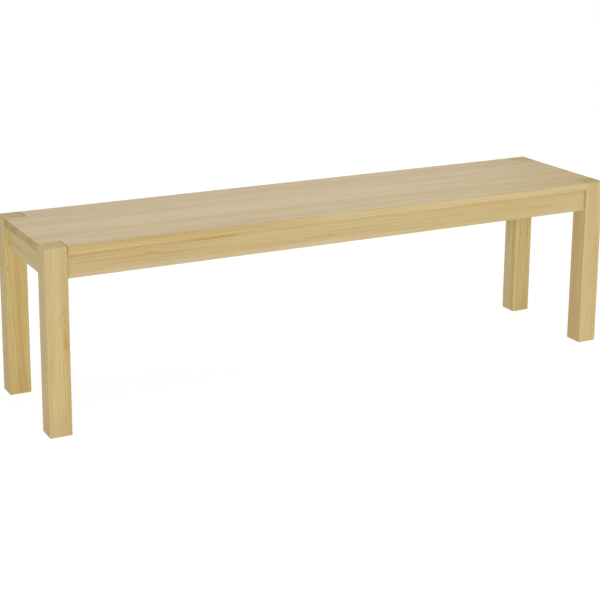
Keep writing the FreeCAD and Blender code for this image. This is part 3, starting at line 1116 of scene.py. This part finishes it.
class Forge:
    """Short ways to shape a small steel piece with the modelling operators.

    Attributes:
        SQUARE: How squarely a face looks along the bar where it counts as an end.
        SMOOTH_BELOW: Angle between faces up to which they are shaded as one, in degrees.
        RIDGE_SIDES: Sides of a thread's ridge.
        UP: The upper end of a bar.
        DOWN: The lower end of a bar.
    """

    SQUARE = 0.99
    SMOOTH_BELOW = 35.0
    RIDGE_SIDES = 3
    UP = 1.0
    DOWN = -1.0

    @staticmethod
    def round_bar(sides: int, radius: float, low: float, high: float) -> bpy.types.Object:
        """Adds an upright round bar, ready to be shaped.

        Args:
            sides: Sides of the round.
            radius: Its radius.
            low: Height of its lower end.
            high: Height of its upper end.

        Returns:
            The bar, with its place in its mesh.
        """
        bpy.ops.object.select_all(action="DESELECT")
        bpy.ops.mesh.primitive_cylinder_add(
            vertices=sides, radius=radius, depth=high - low, location=(0.0, 0.0, (low + high) / 2.0)
        )
        bpy.ops.object.transform_apply(location=True, rotation=True, scale=True)
        return bpy.context.object

    @staticmethod
    def block(size: Point, middle: Point) -> bpy.types.Object:
        """Adds a squared block, used as a cutter.

        Args:
            size: Its size.
            middle: Its middle.

        Returns:
            The block, with its place in its mesh.
        """
        bpy.ops.object.select_all(action="DESELECT")
        bpy.ops.mesh.primitive_cube_add(size=1.0, location=middle)
        cutter = bpy.context.object
        cutter.scale = size
        bpy.ops.object.transform_apply(location=True, rotation=True, scale=True)
        return cutter

    @staticmethod
    def choose(piece: bpy.types.Object) -> None:
        """Makes a piece the only one selected, and active.

        Args:
            piece: The piece.
        """
        bpy.ops.object.select_all(action="DESELECT")
        piece.select_set(True)
        bpy.context.view_layer.objects.active = piece

    @classmethod
    def edit(cls, piece: bpy.types.Object, pick: Callable[[bmesh.types.BMFace], bool]) -> None:
        """Opens a piece for editing with the faces selected that pass a test.

        Args:
            piece: The piece.
            pick: The test on a face.
        """
        cls.choose(piece)
        bpy.ops.object.mode_set(mode="EDIT")
        bpy.ops.mesh.select_mode(type="FACE")
        bpy.ops.mesh.select_all(action="DESELECT")
        mesh = bmesh.from_edit_mesh(piece.data)
        for face in mesh.faces:
            face.select = pick(face)
        mesh.select_flush(True)
        bmesh.update_edit_mesh(piece.data)

    @staticmethod
    def close() -> None:
        """Goes back from editing."""
        bpy.ops.object.mode_set(mode="OBJECT")

    @staticmethod
    def extrude(rise: float) -> None:
        """Draws the selected faces out along the bar."""
        bpy.ops.mesh.extrude_region_move(TRANSFORM_OT_translate={"value": (0.0, 0.0, rise)})

    @classmethod
    def chamfer(cls, piece: bpy.types.Object, end: float, offset: float, segments: int = 1) -> None:
        """Eases the rim of the faces at one end.

        Args:
            piece: The piece.
            end: Which end, UP or DOWN.
            offset: Width of the chamfer.
            segments: Facets across it, more for a round.
        """
        cls.edit(piece, lambda face: face.normal.z * end > cls.SQUARE)
        bpy.ops.mesh.region_to_loop()
        bpy.ops.mesh.bevel(offset=offset, segments=segments, affect="EDGES")
        cls.close()

    @classmethod
    def combine(cls, piece: bpy.types.Object, other: bpy.types.Object, how: str) -> None:
        """Cuts or limits a piece by another, which is used up.

        Args:
            piece: The piece that stays.
            other: The cutter.
            how: DIFFERENCE or INTERSECT.
        """
        cls.choose(piece)
        cut = piece.modifiers.new("cut", "BOOLEAN")
        cut.operation = how
        cut.object = other
        bpy.ops.object.modifier_apply(modifier=cut.name)
        bpy.data.objects.remove(other)

    @classmethod
    def thread(cls, piece: bpy.types.Object, thread: Thread) -> None:
        """Winds a thread's ridge round a bar and joins it on.

        Args:
            piece: The bar.
            thread: The thread.
        """
        ridge_radius = thread.pitch / 2.0
        quarter = math.pi / 2.0
        bpy.ops.object.select_all(action="DESELECT")
        bpy.ops.mesh.primitive_circle_add(
            vertices=cls.RIDGE_SIDES, radius=ridge_radius, location=(thread.root, 0.0, thread.low),
            rotation=(quarter, quarter, 0.0),
        )
        ridge = bpy.context.object
        bpy.ops.object.transform_apply(location=False, rotation=True, scale=False)
        ridge.scale.x = (thread.crest - thread.root) / ridge_radius
        bpy.ops.object.transform_apply(location=True, rotation=True, scale=True)
        screw = ridge.modifiers.new("wind", "SCREW")
        screw.screw_offset = thread.pitch
        screw.iterations = thread.turns()
        screw.steps = thread.steps
        screw.render_steps = thread.steps
        screw.use_merge_vertices = True
        bpy.ops.object.modifier_apply(modifier=screw.name)
        cls.edit(ridge, lambda face: True)
        bpy.ops.mesh.remove_doubles(threshold=TOUCH)
        bpy.ops.mesh.select_all(action="SELECT")
        bpy.ops.mesh.fill_holes(sides=cls.RIDGE_SIDES + 1)
        bpy.ops.mesh.select_all(action="SELECT")
        bpy.ops.mesh.normals_make_consistent(inside=False)
        cls.close()
        cls.choose(piece)
        ridge.select_set(True)
        bpy.ops.object.join()

    @classmethod
    def finish(cls, piece: bpy.types.Object, name: str, material: bpy.types.Material) -> None:
        """Smooths a piece by its angles, names it and gives it its finish.

        Args:
            piece: The piece.
            name: Its name.
            material: Its finish.
        """
        cls.choose(piece)
        bpy.ops.object.shade_smooth_by_angle(angle=math.radians(cls.SMOOTH_BELOW))
        piece.name = name
        piece.data.name = name
        wear(piece, material)

    @staticmethod
    def place(pattern: bpy.types.Object, name: str, where: Matrix, node: str) -> None:
        """Sets a copy of a modelled piece, with its own mesh, in its place on the bench.

        Args:
            pattern: The modelled piece.
            name: Name of the copy.
            where: Turn and move from the piece as modelled.
            node: Name of the solids that it stands for.
        """
        copy = pattern.copy()
        copy.data = pattern.data.copy()
        copy.name = name
        copy.data.name = name
        copy.data.transform(where)
        bpy.context.scene.collection.objects.link(copy)
        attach(copy, BODY)
        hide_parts(node)
        log.info("%s stands for %s", name, node)


@dataclass(frozen=True)
class Corner:
    """One corner of the bench.

    Attributes:
        name: Its name, as the leg there has it.
        side: 1 at the right end, -1 at the left.
        depth: 1 at the rear, -1 at the front.
    """

    name: str
    side: int
    depth: int

    def holds(self, point: Vector) -> bool:
        """Whether a point lies in this quarter of the bench."""
        return point.x * self.side > 0.0 and point.y * self.depth > 0.0

    def points(self, node: str) -> list[Vector]:
        """The points of a node's solids in this quarter."""
        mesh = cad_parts[node].data
        return [vertex.co.copy() for vertex in mesh.vertices if self.holds(vertex.co)]


CORNERS = (
    Corner("front_left", -1, -1), Corner("front_right", 1, -1),
    Corner("rear_left", -1, 1), Corner("rear_right", 1, 1),
)


@dataclass
class CornerFixings:
    """The hanger bolt at each leg, with its washer and nut.

    Attributes:
        bolt_radius: Radius over the thread.
        bolt_root: Radius at the thread's root.
        bolt_sides: Sides of the bolt's round.
        point: Length of the bolt's point.
        point_share: Width of the blunt end of the point against the bolt.
        wood_pitch: Pitch of the coarse thread in the leg.
        steel_pitch: Pitch of the fine thread in the nut.
        plain: Length of the plain part between the two threads.
        washer_radius: Radius of the washer.
        hole_radius: Radius of the hole in washer and nut.
        nut_width: Width of the nut across its flats.
        nut_sides: Flats of the nut.
        nut_chamfer: Width of the turned chamfer on the nut.
        nut_play: How much wider than the nut's corners it is turned.
        turned_sides: Sides of the washer's round and of the nut's chamfer.
        ease: Chamfer on the other rims.
    """

    bolt_radius: float = 0.0039
    bolt_root: float = 0.0033
    bolt_sides: int = 24
    point: float = 0.006
    point_share: float = 0.25
    wood_pitch: float = 0.0032
    steel_pitch: float = 0.00125
    plain: float = 0.006
    washer_radius: float = 0.012
    hole_radius: float = 0.0042
    nut_width: float = 0.013
    nut_sides: int = 6
    nut_chamfer: float = 0.0011
    nut_play: float = 1.002
    turned_sides: int = 48
    ease: float = 0.0004

    @staticmethod
    def inward(corner: Corner) -> Vector:
        """The way that the bolt of a corner points, in from the leg's outer edge."""
        return Vector((-corner.side, -corner.depth, 0.0)).normalized()

    @staticmethod
    def edge(corner: Corner) -> Vector:
        """Finds where a leg's outer upright edge is level with its bolt.

        Args:
            corner: The corner of the leg.

        Returns:
            The point on the edge.
        """
        low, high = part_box(f"{corner.name}_leg")
        bolt_low, bolt_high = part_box("hanger_bolts")
        outer_x = high.x if corner.side > 0 else low.x
        outer_y = high.y if corner.depth > 0 else low.y
        return Vector((outer_x, outer_y, (bolt_low.z + bolt_high.z) / 2.0))

    def span(self, node: str) -> Span:
        """Finds where a node's solids begin and end along the bolt.

        Args:
            node: Name of the solids.

        Returns:
            Both distances from the outer edge of the first corner's leg.
        """
        corner = CORNERS[0]
        inward = self.inward(corner)
        reach = [(point - self.edge(corner)).dot(inward) for point in corner.points(node)]
        return min(reach), max(reach)

    def build_bolt(self) -> bpy.types.Object:
        """Models a hanger bolt: pointed, with a coarse thread, a plain part and a fine thread.

        Returns:
            The bolt.
        """
        low, high = self.span("hanger_bolts")
        leg_end = self.span("bolt_washers")[0]
        shoulder = low + self.point
        bolt = Forge.round_bar(self.bolt_sides, self.bolt_root, shoulder, high)
        Forge.chamfer(bolt, Forge.UP, self.ease)
        Forge.edit(bolt, lambda face: face.normal.z * Forge.DOWN > Forge.SQUARE)
        Forge.extrude(-self.point)
        bpy.ops.transform.resize(value=(self.point_share, self.point_share, 1.0))
        Forge.close()
        plain_low = (low + leg_end) / 2.0
        plain_high = plain_low + self.plain
        fine_high = high - self.ease - self.steel_pitch
        for pitch, start, end in (
            (self.wood_pitch, shoulder, plain_low), (self.steel_pitch, plain_high, fine_high),
        ):
            Forge.thread(bolt, Thread(self.bolt_root, self.bolt_radius, pitch, start, end))
        return bolt

    def build_washer(self) -> bpy.types.Object:
        """Models a flat washer with eased rims.

        Returns:
            The washer.
        """
        washer = Forge.round_bar(self.turned_sides, self.washer_radius, *self.span("bolt_washers"))
        Forge.edit(washer, lambda face: abs(face.normal.z) > Forge.SQUARE)
        bpy.ops.mesh.inset(thickness=self.washer_radius - self.hole_radius, use_individual=True)
        bpy.ops.mesh.bridge_edge_loops()
        Forge.close()
        for end in (Forge.UP, Forge.DOWN):
            Forge.chamfer(washer, end, self.ease)
        return washer

    def build_nut(self) -> bpy.types.Object:
        """Models a six-sided nut with turned chamfers and a round hole.

        Returns:
            The nut.
        """
        low, high = self.span("bolt_nuts")
        corner_radius = self.nut_width / 2.0 / math.cos(math.pi / self.nut_sides)
        nut = Forge.round_bar(self.nut_sides, corner_radius, low, high)
        turned = Forge.round_bar(self.turned_sides, corner_radius * self.nut_play, low, high)
        for end in (Forge.UP, Forge.DOWN):
            Forge.chamfer(turned, end, self.nut_chamfer)
        Forge.combine(nut, turned, "INTERSECT")
        drill = Forge.round_bar(self.bolt_sides, self.hole_radius, low - self.point, high + self.point)
        Forge.combine(nut, drill, "DIFFERENCE")
        return nut

    def build(self, steel: bpy.types.Material) -> None:
        """Models each fixing once and sets it at every corner.

        Args:
            steel: The finish of the fixings.
        """
        patterns = (
            (self.build_bolt(), "hanger_bolt", "hanger_bolts"),
            (self.build_washer(), "bolt_washer", "bolt_washers"),
            (self.build_nut(), "bolt_nut", "bolt_nuts"),
        )
        for pattern, name, node in patterns:
            Forge.finish(pattern, name, steel)
            for corner in CORNERS:
                turn = self.inward(corner).to_track_quat("Z", "Y").to_matrix().to_4x4()
                where = Matrix.Translation(self.edge(corner)) @ turn
                Forge.place(pattern, f"{name}_{corner.name}", where, node)
            bpy.data.objects.remove(pattern)


@dataclass
class SeatScrews:
    """The screws up through the corner blocks and cross rails into the seat.

    Attributes:
        head_radius: Radius of the round head.
        head_height: Height of the head.
        head_sides: Sides of the head's round.
        dome: How far the head's rim is rounded.
        dome_facets: Facets across that rounding.
        root: Radius of the shank at the thread's root.
        crest: Radius over the thread.
        pitch: Pitch of the thread.
        thread_steps: Facets to a turn of the thread.
        plain: Length of the plain shank under the head.
        point: Length of the point.
        slot: Length, width and depth of each arm pair of the cross recess.
        apart: Least distance between two screws.
    """

    head_radius: float = 0.004
    head_height: float = 0.0026
    head_sides: int = 32
    dome: float = 0.0017
    dome_facets: int = 5
    root: float = 0.0014
    crest: float = 0.002
    pitch: float = 0.0018
    thread_steps: int = 12
    plain: float = 0.014
    point: float = 0.004
    slot: Point = (0.0044, 0.0009, 0.0016)
    apart: float = 0.012

    def build_screw(self) -> bpy.types.Object:
        """Models a round-headed wood screw, with its head below zero and its shank above.

        Returns:
            The screw.
        """
        low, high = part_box("seat_screws")
        length = high.z - low.z - self.head_height
        screw = Forge.round_bar(self.head_sides, self.head_radius, -self.head_height, 0.0)
        Forge.chamfer(screw, Forge.DOWN, self.dome, self.dome_facets)
        long, wide, deep = self.slot
        for size in ((long, wide, deep), (wide, long, deep)):
            Forge.combine(screw, Forge.block(size, (0.0, 0.0, -self.head_height)), "DIFFERENCE")
        Forge.edit(
            screw,
            lambda face: face.normal.z > Forge.SQUARE and face.calc_center_median().z > -TOUCH,
        )
        bpy.ops.mesh.inset(thickness=self.head_radius - self.root)
        Forge.extrude(length - self.point)
        Forge.extrude(self.point)
        bpy.ops.mesh.merge(type="COLLAPSE")
        Forge.close()
        top = length - self.point - self.pitch
        thread = Thread(self.root, self.crest, self.pitch, self.plain, top, self.thread_steps)
        Forge.thread(screw, thread)
        return screw

    def heads(self) -> list[Vector]:
        """Finds from the solids where the head of every screw bears on the wood.

        Returns:
            The middles of the heads, from the left end of the bench to the right.
        """
        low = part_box("seat_screws")[0].z
        rims: list[list[Vector]] = []
        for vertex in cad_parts["seat_screws"].data.vertices:
            if vertex.co.z > low + self.head_height / 2.0:
                continue
            near = [rim for rim in rims if (rim[0] - vertex.co).length < self.apart]
            if near:
                near[0].append(vertex.co.copy())
            else:
                rims.append([vertex.co.copy()])
        middles = []
        for rim in rims:
            middle = [(min(places) + max(places)) / 2.0 for places in zip(*rim)]
            middles.append(Vector((middle[0], middle[1], low + self.head_height)))
        return sorted(middles, key=lambda middle: (round(middle.x, 3), middle.y))

    def build(self, steel: bpy.types.Material) -> None:
        """Models one screw and sets it under every block and rail.

        Args:
            steel: The finish of the screws.
        """
        pattern = self.build_screw()
        Forge.finish(pattern, "seat_screw", steel)
        for number, middle in enumerate(self.heads(), 1):
            Forge.place(pattern, f"seat_screw_{number}", Matrix.Translation(middle), "seat_screws")
        bpy.data.objects.remove(pattern)


def hang_light(light: bpy.types.Light, place: Vector, away: Vector) -> bpy.types.Object:
    """Hangs a light.

    Args:
        light: The light.
        place: Where it hangs.
        away: The way that its back faces.

    Returns:
        The object that holds it.
    """
    holder = bpy.data.objects.new(light.name, light)
    holder.location = place
    holder.rotation_euler = away.to_track_quat("Z", "Y").to_euler()
    bpy.context.scene.collection.objects.link(holder)
    log.info("%s hangs", light.name)
    return holder


@dataclass(frozen=True)
class Lamp:
    """One broad soft lamp that faces the middle of the bench.

    Attributes:
        name: Its name.
        place: Where it hangs, in metres.
        width: Its width, in metres.
        height: Its height, in metres.
        power: Its power, in watts.
    """

    name: str
    place: Point
    width: float
    height: float
    power: float

    def hang(self) -> None:
        """Hangs the lamp, out of the camera's sight."""
        light = bpy.data.lights.new(self.name, "AREA")
        light.shape = "ELLIPSE"
        light.size = self.width
        light.size_y = self.height
        light.energy = self.power
        middle = (CAD_BOX[0] + CAD_BOX[1]) / 2.0
        holder = hang_light(light, Vector(self.place), Vector(self.place) - middle)
        holder.visible_camera = False


@dataclass(frozen=True)
class FarLamp:
    """One lamp so far off that it lights the whole bench evenly.

    Attributes:
        name: Its name.
        azimuth: Where it stands round the bench from its front, in degrees, negative to the left.
        elevation: How high it stands, in degrees.
        spread: How wide it looks, in degrees.
        strength: Its strength.
        marker: Where its holder hangs to show the way to it, in metres off the bench.
    """

    name: str
    azimuth: float
    elevation: float
    spread: float
    strength: float
    marker: float = 5.0

    def hang(self) -> None:
        """Hangs the lamp."""
        light = bpy.data.lights.new(self.name, "SUN")
        light.angle = math.radians(self.spread)
        light.energy = self.strength
        away = toward(self.azimuth, self.elevation)
        hang_light(light, away * self.marker, away)


@dataclass
class Studio:
    """A white studio: plain floor, soft light all round and soft lamps.

    Attributes:
        floor_half: Half the floor's side, in metres.
        ambient: Strength of the light from all round.
        lamps: The lamps.
        floor_glow: What the camera sees of the floor without any light on it.
        floor_shade: How much the light on the floor adds to that.
        floor_bounce: Share of light that the floor throws back on the bench.
        floor_fill: Light that the floor adds from below, also where the bench shades it.
    """

    floor_half: float = 30.0
    ambient: float = 0.32
    lamps: tuple[Lamp | FarLamp, ...] = (
        FarLamp("front_lamp", -22.0, 12.0, 20.0, 1.52),
        FarLamp("top_lamp", 20.0, 78.0, 40.0, 0.54),
        FarLamp("left_lamp", -90.0, 8.0, 40.0, 0.13),
        FarLamp("right_lamp", 95.0, 10.0, 40.0, 0.55),
        Lamp("rear_lamp", (0.8, 2.8, 1.25), 3.8, 1.7, 33.0),
    )
    floor_glow: float = 0.9
    floor_shade: float = 0.18
    floor_bounce: float = 0.5
    floor_fill: float = 0.5

    def build(self) -> None:
        """Builds the floor, the surroundings and the lamps."""
        self.lay_floor()
        self.light_room()
        for lamp in self.lamps:
            lamp.hang()

    @staticmethod
    def seen_directly(sketch: NodeSketch) -> Output:
        """Adds a switch for what the camera sees straight, mirrored or through glass.

        Args:
            sketch: The material or world that it goes in.

        Returns:
            1 where that holds, and 0 elsewhere.
        """
        rays = sketch.add("ShaderNodeLightPath")
        either = sketch.most(rays.outputs["Is Camera Ray"], rays.outputs["Is Glossy Ray"])
        return sketch.most(either, rays.outputs["Is Transmission Ray"])

    @staticmethod
    def floor_layer(sketch: NodeSketch, grey: float, glow: float) -> Output:
        """Adds a matt surface that also glows.

        Args:
            sketch: The floor's material.
            grey: Share of light that it throws back.
            glow: Light that it gives by itself.

        Returns:
            The shader.
        """
        matt = sketch.add("ShaderNodeBsdfDiffuse", {"Color": (grey, grey, grey, 1.0)})
        light = sketch.add("ShaderNodeEmission", {"Strength": glow})
        return sketch.add("ShaderNodeAddShader", {0: matt.outputs[0], 1: light.outputs[0]}).outputs[0]

    def lay_floor(self) -> None:
        """Lays the white floor, which keeps the bench's soft shadow."""
        bpy.ops.object.select_all(action="DESELECT")
        bpy.ops.mesh.primitive_plane_add(size=2.0 * self.floor_half, location=(0.0, 0.0, 0.0))
        floor = bpy.context.object
        floor.name = "studio_floor"
        sketch = MaterialSketch("studio_white")
        sketch.tree.nodes.remove(sketch.shader)
        either = sketch.add("ShaderNodeMixShader", {
            0: self.seen_directly(sketch),
            1: self.floor_layer(sketch, self.floor_bounce, self.floor_fill),
            2: self.floor_layer(sketch, self.floor_shade, self.floor_glow),
        })
        sketch.feed(sketch.tree.nodes["Material Output"].inputs["Surface"], either.outputs[0])
        wear(floor, sketch.material)
        log.info("%s lies", floor.name)

    def light_room(self) -> None:
        """Fills the room with even light and shows it white."""
        world = bpy.data.worlds.new("studio_room")
        world.use_nodes = True
        bpy.context.scene.world = world
        sketch = NodeSketch(world.node_tree)
        strength = sketch.weighed(self.ambient, ((self.seen_directly(sketch), 1.0 - self.ambient),))
        glow = sketch.tree.nodes["Background"]
        sketch.fill(glow, {"Color": (1.0, 1.0, 1.0, 1.0), "Strength": strength})


@dataclass
class Viewpoint:
    """The camera, where the photograph was taken from.

    Attributes:
        azimuth: Turn round the bench from its front, in degrees, negative to the left.
        elevation: Height angle above the floor, in degrees.
        roll: Turn about the line of sight, in degrees.
        distance: From the camera to the point it looks at, in metres.
        target: The point it looks at.
        focal_share: Focal length against the width of the picture.
        lift: How far the picture is shifted, against its width.
        sensor: Width of the sensor, in millimetres.
    """

    azimuth: float = -27.802
    elevation: float = 12.82
    roll: float = 0.459
    distance: float = 3.8394
    target: Point = (-0.0483, 0.0, 0.5094)
    focal_share: float = 2.4607
    lift: float = -0.2
    sensor: float = 36.0

    def build(self) -> None:
        """Sets the camera up and makes it the scene's own."""
        back = toward(self.azimuth, self.elevation)
        level = toward(self.azimuth + 90.0, 0.0)
        upright = back.cross(level)
        tilt = math.radians(self.roll)
        right = level * math.cos(tilt) + upright * math.sin(tilt)
        up = upright * math.cos(tilt) - level * math.sin(tilt)
        lens = bpy.data.cameras.new("photo_view")
        lens.sensor_width = self.sensor
        lens.lens = self.focal_share * self.sensor
        lens.shift_y = self.lift
        holder = bpy.data.objects.new("photo_view", lens)
        bpy.context.scene.collection.objects.link(holder)
        axes = Matrix((right, up, back)).transposed().to_4x4()
        holder.matrix_world = Matrix.Translation(Vector(self.target) + back * self.distance) @ axes
        bpy.context.scene.camera = holder
        log.info("%s looks at the bench", holder.name)


def main() -> None:
    """Dresses the bench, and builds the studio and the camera."""
    logging.basicConfig(level=logging.INFO, format="%(name)s: %(message)s")
    bpy.context.scene.view_settings.view_transform = "Standard"
    finish = PineFinish()
    figure = PineFigure(finish)
    for part in (Seat(), LegFrame(), UnderFrame()):
        part.dress(figure, finish)
    steel = ZincFinish().make()
    for fixings in (CornerFixings(), SeatScrews()):
        fixings.build(steel)
    Studio().build()
    Viewpoint().build()


if __name__ == "__main__":
    main()
